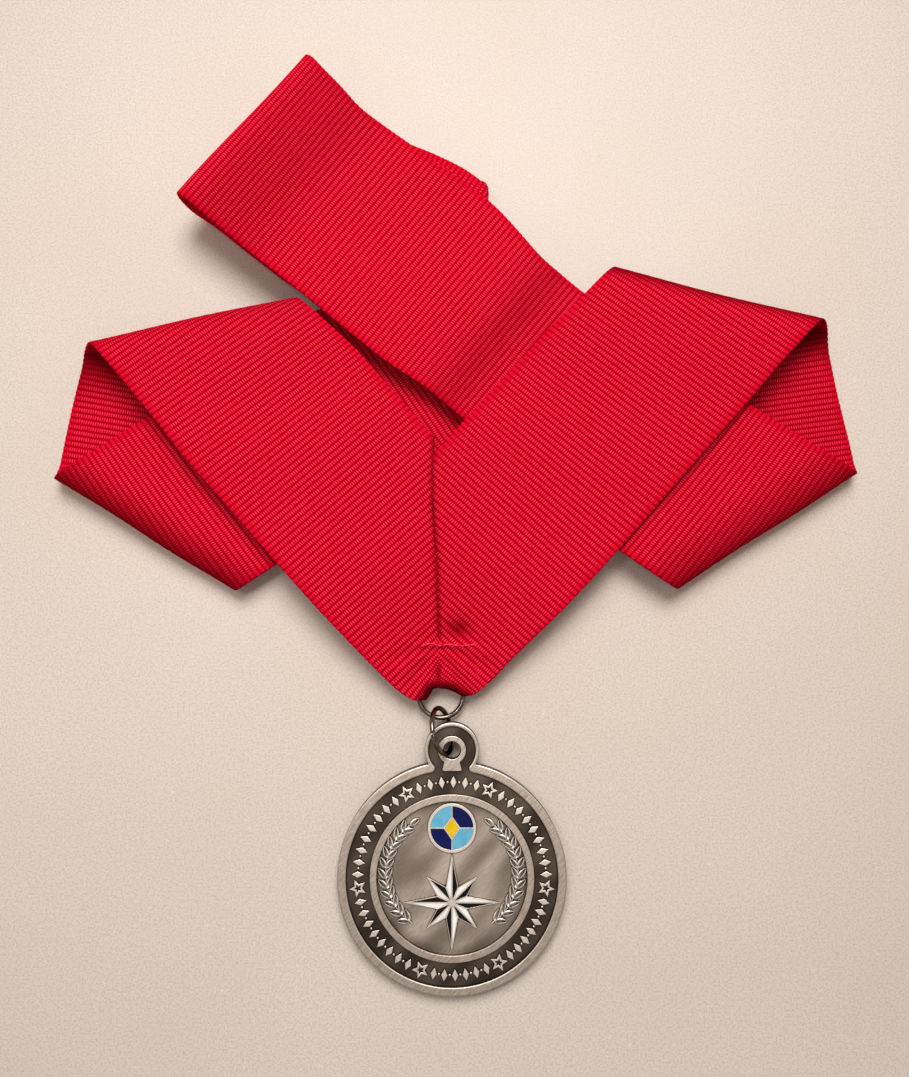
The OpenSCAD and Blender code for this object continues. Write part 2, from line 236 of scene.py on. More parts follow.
def ribbed_cloth():
    """Crimson ribbed ribbon. The weave's u counts ribs, and its v threads from the ribbon's middle."""
    m = Shade("crimson_ribbed_cloth", Specular_IOR_Level=0.0)
    u, v, _ = m.split(m.node("UVMap", uv_map="weave").outputs[0])
    shade = m.split(m.attribute("shade"))[0]
    crest = m.math("SINE", m.times(m.math("FRACT", u), pi))
    shifted = m.plus(v, m.times(m.math("FLOOR", u), 0.5))
    thread = m.math("ABSOLUTE", m.math("SINE", m.times(shifted, pi)))
    selvedge = (SELVEDGE_FROM / THREAD_PITCH, (SELVEDGE_FROM + SELVEDGE_BLEND) / THREAD_PITCH)
    inside = m.span(m.math("ABSOLUTE", v), *selvedge, 1.0, 0.0)
    patchy = m.noise(m.here(), 55.0, 3.0)
    fibre = m.noise(m.join(m.times(u, 2.2), m.times(v, 1.3)), 1.0, 3.0, 0.65)

    # Painted shade in the grooves and painted light on the crests. The gaps between threads don't show in the
    # selvedge.
    lit = m.times(crest, crest, m.span(m.times(thread, inside), 0.1, 0.75, 0.5, 1.0))
    lit = m.plus(lit, m.times(m.span(crest, 0.4, 0.9), 0.4, m.math("SUBTRACT", 1.0, inside)))
    base = m.mix(lit, "AA000E", "E20026")
    base = m.mix(m.span(patchy, 0.3, 0.75, 0.0, 0.3), base, "C4001A")

    # A painted highlight where a thread crosses a rib, weaker in the selvedge and where shade is painted
    painted_glint = m.times(m.span(thread, 0.62, 0.9), m.span(crest, 0.4, 0.85), m.span(fibre, 0.3, 0.65, 0.25, 1.0),
                  m.span(inside, 0.0, 1.0, 0.3, 1.0), m.span(shade, 0.0, 0.9, 1.0, 0.1))
    base = m.mix(painted_glint, base, "FF3E66")
    edge = m.times(m.span(inside, 0.0, 1.0, 1.0, 0.0), m.span(fibre, 0.32, 0.66, 0.1, 0.6),
                   m.span(crest, 0.45, 0.85))
    base = m.mix(edge, base, "E6123F")
    # Painted shade: the shade attribute deepens the cloth towards dark red
    m.put("Base Color", m.mix(shade, base, "3C0006"))
    m.put("Roughness", m.span(fibre, 0.2, 0.8, 0.48, 0.65))
    woven = m.times(thread, crest, m.span(inside, 0.0, 1.0, 0.7, 1.0))
    m.bumps(m.plus(woven, m.times(fibre, 0.45)), 0.14, 0.85)
    return m.material


def bright_thread():
    """The sewing thread, a little lighter than the ribbon."""
    m = Shade("crimson_thread", Roughness=0.5, Specular_IOR_Level=0.15)
    twist = m.noise(m.here(), 1600.0)
    m.put("Base Color", m.mix(m.span(twist, 0.35, 0.65), "E8163C", "FF4464"))
    return m.material


def antique_silver():
    """Struck silver: dark in the low places, black at the foot of every wall, rubbed pale on top."""
    m = Shade("antique_silver", Metallic=1.0)
    flat = m.attribute("flat")
    x, y, z = m.split(flat)
    radius = m.math("SQRT", m.plus(m.times(x, x), m.times(y, y)))

    # Fine and broad streaks that run up to the right, and an even grain
    along, across = m.times(m.plus(x, y), 0.35), m.times(m.math("SUBTRACT", x, y), 3.2)
    streaks = m.noise(m.join(along, across), 1.0, 3.0, 0.65)
    broad = m.noise(m.join(m.times(along, 0.16), m.times(across, 0.055)), 1.0, 0.0)
    grain = m.noise(flat, 6.0, 3.0, 0.65)

    # Low ground: dark in the border band, paler in the field inside the inner ring
    band_tone = m.mix(m.span(broad, 0.35, 0.7), "423A32", "685C51")
    field_tone = m.mix(m.span(broad, 0.25, 0.75), "988A7E", "D8C9BA")
    low_tone = m.mix(m.span(radius, RING_IN + 1.2, RING_IN - 2.4), band_tone, field_tone)
    low_tone = m.mix(m.span(streaks, 0.35, 0.75, 0.0, 0.3), low_tone, "4B4138")

    # High metal: bright relief and streaked rims
    rim_tone = m.mix(m.span(streaks, 0.3, 0.72), "B4A598", "E4D6C8")
    high_tone = m.mix(m.span(z, RELIEF_Z + 0.06, RIM_Z - 0.02), "F6ECE0", rim_tone)
    height = m.span(m.plus(z, m.times(grain, 0.05)), FACE_Z + 0.12, RELIEF_Z - 0.05)
    tone = m.mix(height, low_tone, high_tone)
    tone = m.mix(m.span(grain, 0.62, 0.76, 0.0, 0.45), tone, "5A4E44")

    # Painted shade: dark lines on the outer rim's walls, close below its top
    rim_wall_shade = m.times(m.span(radius, RIM_IN - 0.4, RIM_IN - 0.2), m.span(z, RIM_Z - 0.02, RIM_Z - 0.1),
                       m.span(z, RELIEF_Z - 0.3, RELIEF_Z - 0.2))
    tone = m.mix(m.times(rim_wall_shade, 0.8), tone, "2E2721")
    open_air = m.node("AmbientOcclusion", {"Distance": 0.5 * MM}, samples=8, only_local=True).outputs["AO"]
    m.put("Base Color", m.mix(m.span(open_air, 0.42, 0.86), "0B0908", tone))
    m.put("Roughness", m.span(m.plus(height, m.times(grain, 0.3)), 0.2, 1.2, 0.5, 0.42))
    m.bumps(m.plus(m.times(streaks, 0.5), m.times(grain, 0.5)), 0.03, 0.55)
    return m.material


def dark_nickel():
    m = Shade("dark_nickel", Metallic=1.0, Specular_Tint=(0.14, 0.12, 0.11, 1.0))
    wear = m.noise(m.here(), 900.0, 3.0, 0.6)
    m.put("Base Color", m.mix(m.span(wear, 0.3, 0.7), "645A53", "968A81"))
    m.put("Roughness", m.span(wear, 0.3, 0.8, 0.1, 0.19))
    m.bumps(m.noise(m.here(), 2500.0), 0.02, 0.3)
    return m.material


def gloss_enamel(name, main, shade):
    """Glossy enamel with a slightly uneven fill."""
    m = Shade(name, Roughness=0.16, Specular_IOR_Level=0.1, Coat_Weight=0.05, Coat_Roughness=0.06)
    m.put("Base Color", m.mix(m.span(m.noise(m.here(), 500.0, 3.0), 0.35, 0.7), main, shade))
    m.bumps(m.noise(m.here(), 420.0, 1.0), 0.06, 0.35)
    return m.material


def pale_stone():
    """Floor: a pale honed stone with a fine fleck, a few darker grains, and a few brighter grains painted as
    glints.
    """
    m = Shade("pale_floor", Specular_IOR_Level=0.3)
    here = m.here()
    fleck = m.noise(here, 2600.0, 2.0, 0.6)
    grains_and_glints = m.noise(here, 1300.0, 2.0, 0.6)
    base = m.mix(m.span(m.noise(here, 14.0, 3.0), 0.3, 0.7), "DED2C6", "DACCBF")
    base = m.mix(m.span(fleck, 0.3, 0.62, 0.72, 0.0), base, "C1B1A3")
    base = m.mix(m.span(grains_and_glints, 0.66, 0.74, 0.0, 0.35), base, "9C8976")
    # Painted glints: a few brighter grains
    m.put("Base Color", m.mix(m.span(grains_and_glints, 0.33, 0.26, 0.0, 0.6), base, "F4EDE6"))
    m.put("Roughness", m.span(fleck, 0.3, 0.7, 0.38, 0.55))
    return m.material


# The ribbon's folds, as in the CAD source

SEAM_MID = DISC + np.array([-2.24, 54.26, 8.4])
SEAM_TURN, SEAM_RISE = 0.4, 3.2
RING_AT = DISC + np.array([-2.2, 34.8, 2.35])
DIP_DEPTH, DIP_REACH = 3.0, 30.0

# Runs of each half from the seam to the hidden fold behind.
# Columns: length along the middle, steer within the sheet, then the fold that
# ends the run: angle across the ribbon, radius of the roll, turn of the roll.
LENGTH, STEER, ANGLE, RADIUS, TURN = range(5)
LEFT_RUNS = (
    (76.7, -0.3, 61.4, 4.3, -180.3),
    (47.1, -8.8, 114.8, 2.5, -183.6),
    (83.25, 1.08, 59.2, 0, 0))
RIGHT_RUNS = (
    (85.8, 0.2, 61.7, 4.9, -183.1),
    (52.2, -9.3, 117.3, 2.7, -179.1),
    (50.0, 10.0, 90.0, 0, 0),
    (44.5, -1.8, 90.0, 40.0, 3.8),
    (43.3, 0.4, 90.8, 3.5, -185.7),
    (62.45, 8.94, 126.2, 0, 0))
# Row of the right half's runs that ends in the fold at the far end of its long panel, counted from 0
FAR_FOLD = 4
LEFT_OPEN, LEFT_BANK = 41.2, 0.3
RIGHT_OPEN, RIGHT_BANK = 42.7, -0.2
LAST_FOLD_PULL = np.array([2.2, 0.0, 0.0])
# How far past its end a half is still worked out, under the hidden fold
RUN_ON = 40.0
# Along the front bands, where the forms round the seam fade out
SEAM_FADE = (28, 34)

# How far ripples and open folds draw the edges in, outer edge then inner. Columns: along, drawn in by.
WAISTS = {
    -1: (((52, 0), (62, 0.5), (74, 0.9), (84, 0.8), (89, 0.3), (98, 0.2), (112, 0)),
         ((48, 0), (57, 1.0), (63, 1.5), (70, 1.1), (78, 0))),
    1: (((30, 0), (50, 0.4), (70, 0.7), (80, 1.1), (89, 1.0), (97, 0.2), (104, 0.4), (110, 0.55), (116, 0.4),
         (124, 0), (180, 0), (190, 1.6), (197, 2.8), (202, 3.2), (209, 2.8), (218, 1.0), (223, 0.2),
         (230, 0.1), (248, 1.7), (257, 2.6), (265, 1.1), (273, 0), (286, 0.3), (298, 1.4), (303, 0.6),
         (307, -0.3), (311, -1.2), (317, -2.05), (321, -2.3), (324, -1.95)),
        ((52, 0), (62, 0.5), (70, 0.7), (78, 0), (190, 0), (200, 1.2), (210, 1.25), (220, 0.1), (246, 0.2),
         (256, 0), (280, 0.2), (286, 0.8), (304, 0.6), (312, 1.0), (321, 1.8), (334, 1.0), (345, 0)))}
WAIST_BLUR = 2.0
# Ripples of the right half. Columns: at the outer edge (1), the inner one (-1) or right across (0),
# then along, width and height.
RIPPLES = ((1, 203, 6, 0.75), (1, 259, 7, 0.8), (-1, 240, 8, 0.25), (0, 218, 9, 0.15), (0, 268, 5, -0.45))

# Outer edge of each front band towards the gathered corner. Columns: along, across.
CORNER_EDGE = {
    -1: ((-12.9, 15.8), (-12.2, 17.0), (-10.6, 17.8), (-8.3, 18.35), (-5.6, 18.6), (0, 18.9), (14, 19.4),
         (24, 19.5)),
    1: ((-11.1, 16.5), (-10.4, 17.3), (-8.65, 17.9), (-6.2, 18.3), (0, 18.4), (14, 19.3), (24, 19.5))}
# Rows of ribs that fan out below the stitches. Columns: row's place on the strip, how far up the
# seam its inner end is, then its outer end along and across the band.
FAN = {
    -1: ((-3, -3.99, -3, 18.74), (-5, -6.7, -5.2, 18.62), (-7, -9.2, -7.4, 18.43), (-9, -11.5, -9.6, 18.05),
         (-11, -13.5, -11.5, 17.4), (-12.6, -15.1, -12.75, 16.2), (-13.6, -15.9, -13.15, 15.5),
         (-14.6, -16.5, -12.95, 14.85), (-15.6, -16.9, -12.5, 14.2), (-16.6, -17.3, -12.22, 13.5),
         (-17.4, -17.6, -12.3, 13.25), (-18.2, -17.75, -12.6, 12.75), (-19.2, -17.85, -13.2, 12.1)),
    1: ((-3, -4.08, -3, 18.35), (-5, -6.8, -5.0, 18.32), (-7, -9.3, -7.1, 18.15), (-9, -11.6, -8.9, 17.85),
        (-11, -13.6, -10.2, 17.4), (-12.6, -15.2, -10.95, 16.8), (-13.6, -16.0, -11.25, 16.4),
        (-14.6, -16.6, -11.4, 16.35), (-15.6, -17.0, -11.6, 15.55), (-16.6, -17.35, -11.7, 14.7),
        (-17.4, -17.6, -12.05, 13.6), (-18.2, -17.75, -12.55, 12.8), (-19.2, -17.85, -12.9, 12.4))}
FAN_FROM, FAN_END = FAN[1][0][0], FAN[1][-1][0]
# Rounded brim of the arch over the ring. Columns: outwards from the seam, up along it.
ARCH = {
    -1: ((-1, -17.9), (1.3, -17.9), (1.9, -18.0), (2.3, -18.25), (2.76, -19.0), (3.2, -19.75), (3.6, -20.2)),
    1: ((-1, -17.9), (0.9, -17.9), (1.83, -18.1), (2.89, -18.54), (3.59, -19.07), (4.29, -19.47),
        (4.8, -19.6))}
# The brim's radius, and how far along the ribbon the cloth curls down at it
BRIM_R, BRIM_TO = 1.2, 5.0
# How far the crooked seam stands left of its straight line. Columns: up along it, to the left.
SEAM_DRIFT = ((-16, 0.55), (-11, 0.38), (-9, 0.3), (-5, 0.42), (0, 0.58), (4.4, 0.65), (9, 0.85),
              (12.5, 1.1), (18, 1.45), (25, 1.45), (31, 1.2))
# How far the ribs lean along the ribbon for each millimetre outwards across it. Columns: along, lean.
RIB_LEAN = {
    -1: ((22, 0), (40, 0.03), (55, 0.075), (70, 0.1), (80, 0.08), (95, 0.03), (115, 0.02), (135, -0.065),
         (150, -0.065), (185, 0)),
    1: ((22, 0), (37, 0.05), (50, 0.08), (65, 0.11), (80, 0.12), (95, 0.04), (115, 0.02), (140, -0.1),
        (160, -0.1), (190, 0))}

# Places on the front bands. Outwards is from the seam, and up is along it from its middle.
STITCH_UP = -9.6
STITCH_REACH = {-1: (3.2, 4.6), 1: (6.2, 7.6)}
GATHER_UP = -9.2
HOLLOW_OUT, HOLLOW_UP = 3.9, -6.4

# Weave
RIB_PITCH = 1.13
THREAD_PITCH = 0.48
SELVEDGE_FROM, SELVEDGE_BLEND = 18.0, 0.7
RIB_PLACES = (0.0, 0.22, 0.5, 0.78)
RIB_SHAPE = (0.0, 0.8, 1.0, 0.8)
WALL_LOW, RIB_HIGH = 0.26, 0.11
SELVEDGE_LOOP = 0.05
COLUMNS = 22
EDGE_STEPS = (0.012, 0.032, 0.062)


def lookup(x, rows):
    xs, ys = zip(*rows)
    return np.interp(x, xs, ys)


def blurred(x, rows):
    return sum(lookup(x + d, rows) for d in np.linspace(-WAIST_BLUR, WAIST_BLUR, 5)) / 5


def advance(knot, run, part):
    """Point of the middle line laid flat, part of a run on from a knot: length so far, x, y, heading."""
    so_far, x, y, heading = knot
    turn = radians(run[STEER])
    radius = run[LENGTH] / turn
    ahead = heading + turn * part
    return np.array([so_far + run[LENGTH] * part,
                     x + radius * (np.sin(ahead) - np.sin(heading)),
                     y + radius * (np.cos(heading) - np.cos(ahead)), ahead])


class Half:
    """One half of the ribbon, folded up from a flat strip. side is -1 for the left one, 1 for the right."""

    def __init__(self, side, opening, bank, runs):
        self.side, self.runs = side, runs
        self.cos, self.sin = cos(radians(opening)), sin(radians(opening))
        self.knots = [np.zeros(4)]
        for run in runs:
            self.knots.append(advance(self.knots[-1], run, 1.0))
        self.places = [self.first_place(radians(bank))]
        for i, run in enumerate(runs):
            self.places.append(self.beyond(i) if run[TURN] else self.places[-1])
        self.end = self.knots[-1][0]

    def seamwise(self, a, b):
        """Turns along and across the band into outwards from the straight seam and up along it, or back."""
        return a * self.sin + b * self.cos, a * self.cos - b * self.sin

    def first_place(self, bank):
        """Origin and axes of the front band: along it, outwards across it, and up."""
        turn, lift = radians(SEAM_TURN), radians(SEAM_RISE)
        seam = np.array([-sin(turn) * cos(lift), cos(turn) * cos(lift), sin(lift)])
        flat_out = self.side * np.array([cos(turn), sin(turn), 0])
        out = unit(flat_out - seam * (flat_out @ seam))
        up = self.side * np.cross(out, seam)
        out = out * cos(bank) + up * sin(bank)
        along, across = self.seamwise(out, seam)
        return SEAM_MID, np.array([along, across, self.side * np.cross(out, seam)])

    def fold(self, i):
        """Fold i in the flat strip: point on its line, along it, across it, radius, turn, sign, width."""
        run = self.runs[i]
        a = self.knots[i + 1][3] + radians(run[ANGLE])
        turn, radius = abs(radians(run[TURN])), run[RADIUS]
        along = np.array([cos(a), sin(a)])
        across = np.array([along[1], -along[0]])
        return self.knots[i + 1][1:3], along, across, radius, turn, np.sign(run[TURN]), turn * radius

    def beyond(self, i):
        """Origin and axes of the flat strip once it has gone round fold i."""
        origin, axes = self.places[-1]
        c, d, n, r, turn, sign, width = self.fold(i)
        after = np.array([*(n * cos(turn)), sign * sin(turn)]) @ axes
        along = np.array([*d, 0]) @ axes
        up = np.array([*(-n * sign * sin(turn)), cos(turn)]) @ axes
        far = c + n * (r * sin(turn) - width / 2)
        end = origin + np.array([*far, sign * r * (1 - cos(turn))]) @ axes
        return (end - after * (width / 2 + c @ n) - along * (c @ d),
                np.array([after * n[0] + along * d[0], after * n[1] + along * d[1], up]))

    def flat(self, s, t):
        q = np.empty(s.shape + (2,))
        for i, run in enumerate(self.runs):
            on = s > self.knots[i][0] if i else np.ones(s.shape, bool)
            _, x, y, heading = advance(self.knots[i], run, (s[on] - self.knots[i][0]) / run[LENGTH])
            q[on] = np.stack([x - t[on] * np.sin(heading), y + t[on] * np.cos(heading)], -1)
        return q

    def folded(self, q):
        """Points and normals of the folded strip for points of the flat one."""
        origin, axes = self.places[-1]
        local = np.concatenate([q, np.zeros(q.shape[:-1] + (1,))], -1)
        points = origin + local @ axes
        normals = np.broadcast_to(axes[2], points.shape).copy()
        for i in range(len(self.runs) - 1, -1, -1):
            if not self.runs[i][TURN]:
                continue
            origin, axes = self.places[i]
            c, d, n, r, _, sign, width = self.fold(i)
            u = (q - c) @ n
            a = np.clip(u + width / 2, 0, None) / r
            across = np.where(u < -width / 2, u, r * np.sin(a) - width / 2)
            flat = c + ((q - c) @ d)[..., None] * d + across[..., None] * n
            local = np.concatenate([flat, (sign * r * (1 - np.cos(a)))[..., None]], -1)
            tilt = np.concatenate([-sign * np.sin(a)[..., None] * n, np.cos(a)[..., None]], -1)
            here = u < width / 2
            points[here] = (origin + local @ axes)[here]
            normals[here] = (tilt @ axes)[here]
        return points, normals

    def off_crease(self, out, up):
        """Distance outwards from the crooked seam."""
        return out + self.side * lookup(up, SEAM_DRIFT)

    def past_fold(self, i, q):
        """How far points of the flat strip lie past the middle line of fold i."""
        c, _, n = self.fold(i)[:3]
        return (q - c) @ n

    def stitch_line(self, out):
        """How far up the seam the wavy row of stitches lies."""
        return STITCH_UP + 0.22 * np.sin(out * 1.15 + 0.6 * self.side)

    def swell(self, s, t):
        """How far the cloth stands above its plain folded form."""
        out, up = self.seamwise(s, t)
        out = self.off_crease(out, up)
        front = 1 - rise(*SEAM_FADE, s)
        wave = 0.16 * np.sin(s / 8.3 + t / 11 + self.side) + 0.12 * np.sin(s / 4.9 - t / 7.1)

        # The sunk seam, above the stitches and below them
        seam_above = rise(-9.3, -7.0, up) * (1 - 0.5 * rise(15, 29, up))
        seam_below = hill(-17.7, -16.6, -13.9, -12.3, up)
        seam = -0.8 * bump(out, 0, 0.55) * seam_above - 0.6 * bump(out, 0, 0.5) * seam_below

        # The row of stitches, raised between two hollows
        off = up - self.stitch_line(out)
        stitched = 0.34 * bump(off, 0, 0.5) - 0.25 * bump(off, 1.15, 0.75) - 0.25 * bump(off, -1.05, 0.6)
        stitched = stitched * (1 - rise(*STITCH_REACH[self.side], out))

        # Gathers that spread out below the stitches
        near, around = np.hypot(out, up - GATHER_UP), np.arctan2(out, GATHER_UP - up)
        gathers = 0.26 * np.sin(around * 9.5 + self.side) * hill(1.6, 4.0, 9.5, 12.5, near)
        gathers = gathers * (1 - rise(-10.6, -9.8, up)) * rise(0.3, 1.2, out)

        hollow = ripples = 0.0
        if self.side > 0:
            hollow = -0.9 * bump(out, HOLLOW_OUT, 2.0) * bump(up, HOLLOW_UP, 1.7)
            ripples = self.ripples(s, t)
        return wave * (1 - 0.7 * front) + front * (seam + stitched + hollow + gathers) + ripples

    def ripples(self, s, t):
        """Ripples of the right half's long panel where its edges are drawn in."""
        share = {edge: rise(-0.2, 1.0, edge * t / HALF_W) if edge else 1.0 for edge in (1, -1, 0)}
        return sum(high * share[edge] * bump(s, at, wide) for edge, at, wide, high in RIPPLES)

    def shade(self, s, t):
        """Painted shade on the cloth, from 0 to 1: along the seam, at the arch's brim, in the hollow above
        the stitches, on the rolls of the first two folds, in the pockets under the front bands, and in bands
        across the right half's long panel.
        """
        out, up = self.seamwise(s, t)
        # Painted shade at the arch's brim and along the seam
        brim = 0.85 * (1 - rise(0.2, 2.2, self.off_arch(out, up)[0]))
        out = self.off_crease(out, up)
        seam = 0.5 * bump(out, 0, 0.42) * np.maximum(rise(-9.2, -8.2, up), 1 - rise(-14.2, -13.0, up))
        front = np.maximum(seam, brim)
        # Painted shade by the folds: on the first fold's roll, beside the second fold and in the pocket under
        # the first
        q = self.flat(s, t)
        first, second = self.past_fold(0, q), self.past_fold(1, q)
        if self.side < 0:
            rolled, lowest, low_end = 0.25, 0.6, 9.0
            behind = 0.72 * hill(-0.4, 3.0, 2, 15.5, first)
        else:
            rolled, lowest, low_end = 0.66, 0.5, 12.0
            # Painted shade in the hollow above the stitches
            front = np.maximum(front, 0.55 * bump(out, HOLLOW_OUT, 2.1) * bump(up, HOLLOW_UP, 1.5))
            last = self.past_fold(FAR_FOLD, q)
            behind = 0.74 * hill(-0.4, 2.5, 3.5, 12, first)
            behind = behind + 0.1 * rise(6, 12, first) * (1 - rise(-1, 0.5, second))
            # Painted shade bands across the right half's long panel
            behind = behind + 0.2 * hill(-28, -16, -9, -2.5, last) + 0.45 * hill(-1.6, -0.2, 0, 1.5, last)
            behind = behind + 0.24 * bump(s, 206, 4.5)
        roll = rolled * hill(-7.6, -2.2, -0.4, 1.0, first)
        low = lowest * hill(-1.5, 0.5, 0.8, low_end, second)
        return np.clip((1 - rise(*SEAM_FADE, s)) * front + roll + low + behind, 0, 1)

    def off_arch(self, out, up):
        """Distance from the arch's brim, and the direction away from it as shares of out and up."""
        best = np.full(out.shape, np.inf)
        away_out, away_up = np.zeros(out.shape), np.ones(out.shape)
        rows = np.array(ARCH[self.side], float)
        for a, b in zip(rows[:-1], rows[1:]):
            along = b - a
            k = np.clip(((out - a[0]) * along[0] + (up - a[1]) * along[1]) / (along @ along), 0, 1)
            dx, dy = out - a[0] - k * along[0], up - a[1] - k * along[1]
            d = np.hypot(dx, dy)
            near = d < best
            best[near] = d[near]
            away_out[near], away_up[near] = (dx / np.maximum(d, 1e-6))[near], (dy / np.maximum(d, 1e-6))[near]
        return best, away_out, away_up

    def at(self, s, t):
        """Points and normals of the ribbon's middle surface."""
        outer, inner = WAISTS[self.side]
        drawn = t * (1 - np.where(t > 0, blurred(s, outer), blurred(s, inner)) / HALF_W)
        points, normals = self.folded(self.flat(s, drawn))
        near, away_out, away_up = self.off_arch(*self.seamwise(s, t))
        lean = np.where(s < BRIM_TO, np.clip(1 - near / BRIM_R, 0, 1), 0.0)
        upright = np.sqrt(1 - lean ** 2)
        points = points + normals * (self.swell(s, drawn) - BRIM_R * (1 - upright))[..., None]
        outwards, upwards = self.seamwise(*self.places[0][1][:2])
        away = away_out[..., None] * outwards + away_up[..., None] * upwards
        curled = normals * upright[..., None] - away * lean[..., None]
        from_ring = np.hypot(points[..., 0] - RING_AT[0], points[..., 1] - RING_AT[1])
        points[..., 2] -= DIP_DEPTH * (1 - rise(0, DIP_REACH, from_ring))
        return points, curled

    def rows(self, along, place):
        """Along and across for rows of the strip and places from the inner edge to the outer."""
        fan = np.array(FAN[self.side], float)[::-1]
        up, s_out, t_out = (np.interp(np.minimum(along, FAN_FROM), fan[:, 0], fan[:, k]) for k in (1, 2, 3))
        fanned = along < FAN_FROM
        up = np.where(fanned, up, along / self.cos)
        out = -self.side * lookup(up, SEAM_DRIFT)
        s_fan, t_fan = self.seamwise(out, up)
        s_in = np.where(fanned, s_fan, along)
        t_in = np.maximum(np.where(fanned, t_fan, (out - along * self.sin) / self.cos), -HALF_W)
        s_out = np.where(fanned, s_out, along)
        t_out = np.where(fanned, t_out, lookup(along, CORNER_EDGE[self.side]))
        share = place[None, :] ** (1 + 0.5 * (1 - rise(0, 14, along)))[:, None]
        t = t_in[:, None] + (t_out - t_in)[:, None] * share
        lean = lookup(along, RIB_LEAN[self.side])[:, None]
        return s_in[:, None] + (s_out - s_in)[:, None] * share + lean * t, t


class Strip:
    """The whole loop as one strip, from the left half's gathered end over the hidden fold to the right's."""

    def __init__(self):
        self.left = Half(-1, LEFT_OPEN, LEFT_BANK, LEFT_RUNS)
        self.right = Half(1, RIGHT_OPEN, RIGHT_BANK, RIGHT_RUNS)
        self.slope = 1 / tan(radians(LEFT_RUNS[-1][ANGLE]))
        self.far_slope = -1 / tan(radians(RIGHT_RUNS[-1][ANGLE]))
        line = self.bend(np.linspace(0, 1, 30), np.zeros(30))[0]
        self.fold_long = float(np.linalg.norm(np.diff(line, axis=0), axis=1).sum())
        self.long = self.left.end + self.fold_long + self.right.end

    def ends(self, t):
        return (self.left.at(self.left.end + t * self.slope, t),
                self.right.at(self.right.end - t * self.far_slope, t))

    def bend(self, k, t):
        """Hidden fold: a curve from the left half's end to the right half's, at each place across."""
        (a, _), (b, _) = self.ends(t)
        k = k[..., None]
        points = (a * (1 - k) ** 3 + 3 * (a + LAST_FOLD_PULL) * k * (1 - k) ** 2
                  + 3 * (b + LAST_FOLD_PULL) * k * k * (1 - k) + b * k ** 3)
        ahead = LAST_FOLD_PULL * (1 - k) ** 2 + 2 * (b - a) * k * (1 - k) - LAST_FOLD_PULL * k * k
        (outer, _), _ = self.ends(np.full(t.shape, HALF_W))
        (inner, _), _ = self.ends(np.full(t.shape, -HALF_W))
        return points, unit(np.cross(inner - outer, ahead))

    def at(self, run, t):
        """Points and normals for places along the whole strip and across it."""
        after = run - (self.left.end + t * self.slope)
        points, normals = self.left.at(np.minimum(run, self.left.end + RUN_ON), t)
        far_points, far_normals = self.right.at(np.minimum(self.long - run, self.right.end + RUN_ON), t)
        long = self.fold_long + t * (self.far_slope - self.slope)
        fold_points, fold_normals = self.bend(np.clip(after / long, 0, 1), t)
        on_fold, beyond = after > 0, after > long
        for mine, fold, far in ((points, fold_points, far_points), (normals, fold_normals, far_normals)):
            mine[on_fold] = fold[on_fold]
            mine[beyond] = far[beyond]
        return points, normals


def column_places():
    """Places across the strip from 0 to 1, closer together at both edges."""
    middle = np.linspace(EDGE_STEPS[-1], 1 - EDGE_STEPS[-1], COLUMNS + 1 - 2 * len(EDGE_STEPS))
    near = np.array([0, *EDGE_STEPS[:-1]])
    return np.concatenate([near, middle, 1 - near[::-1]])


def over_and_under(top, outer_edge, under, inner_edge):
    """Each row's points or values across the top, round the outer edge, and back underneath."""
    return np.concatenate([top, outer_edge[:, None], under[:, ::-1], inner_edge[:, None]], 1)


def ribbon_piece(strip, material):
    """The ribbon with its ribs: rows of points along the strip, each across the top and back underneath."""
    first, last = int(FAN_END / RIB_PITCH), int((strip.long - FAN_END) / RIB_PITCH)
    run = np.array([(k + place) * RIB_PITCH for k in range(first, last) for place in RIB_PLACES])
    rib = np.tile(RIB_SHAPE, last - first)
    place = column_places()
    on_left = (run < strip.long / 2)[:, None]
    along = np.where(on_left[:, 0], run, strip.long - run)
    left, right = strip.left.rows(along, place), strip.right.rows(along, place)
    s, t = (np.where(on_left, mine, other) for mine, other in zip(left, right))
    t = t + SELVEDGE_LOOP * rib[:, None] * (place == 1)
    shade = np.where(on_left, strip.left.shade(s, t), strip.right.shade(s, t))
    points, normals = strip.at(np.where(on_left, s, strip.long - s), t)

    wall = (WALL_LOW + RIB_HIGH * rib)[:, None, None]
    rounding = unit(points[:, -1] - points[:, 0]) * 0.6 * wall[:, 0]
    ring = over_and_under(points + normals * wall, points[:, -1] + rounding,
                          points - normals * wall, points[:, 0] - rounding)
    rows, around = ring.shape[:2]
    count = len(place)
    weave = np.stack([np.repeat(run[:, None] / RIB_PITCH, count, 1), t / THREAD_PITCH], -1)
    shade = np.stack([shade] * 3, -1)
    layers = {key: over_and_under(flat, flat[:, -1], flat, flat[:, 0]).reshape(rows * around, -1)
              for key, flat in (("weave", weave), ("shade", shade))}

    faces = grid_faces(rows, around, closed=True)
    for a, flip in ((0, False), ((rows - 1) * around, True)):
        cap = [(a + j, a + around - 2 - j, a + around - 3 - j, a + j + 1) for j in range(count - 1)]
        cap += [(a, a + around - 1, a + around - 2), (a + count - 1, a + count + 1, a + count)]
        faces += flipped(cap) if flip else cap
    return add_piece("ribbon_cloth", ring.reshape(-1, 3), flipped(faces), material,
                     replaces=["ribbon"], layers=layers)


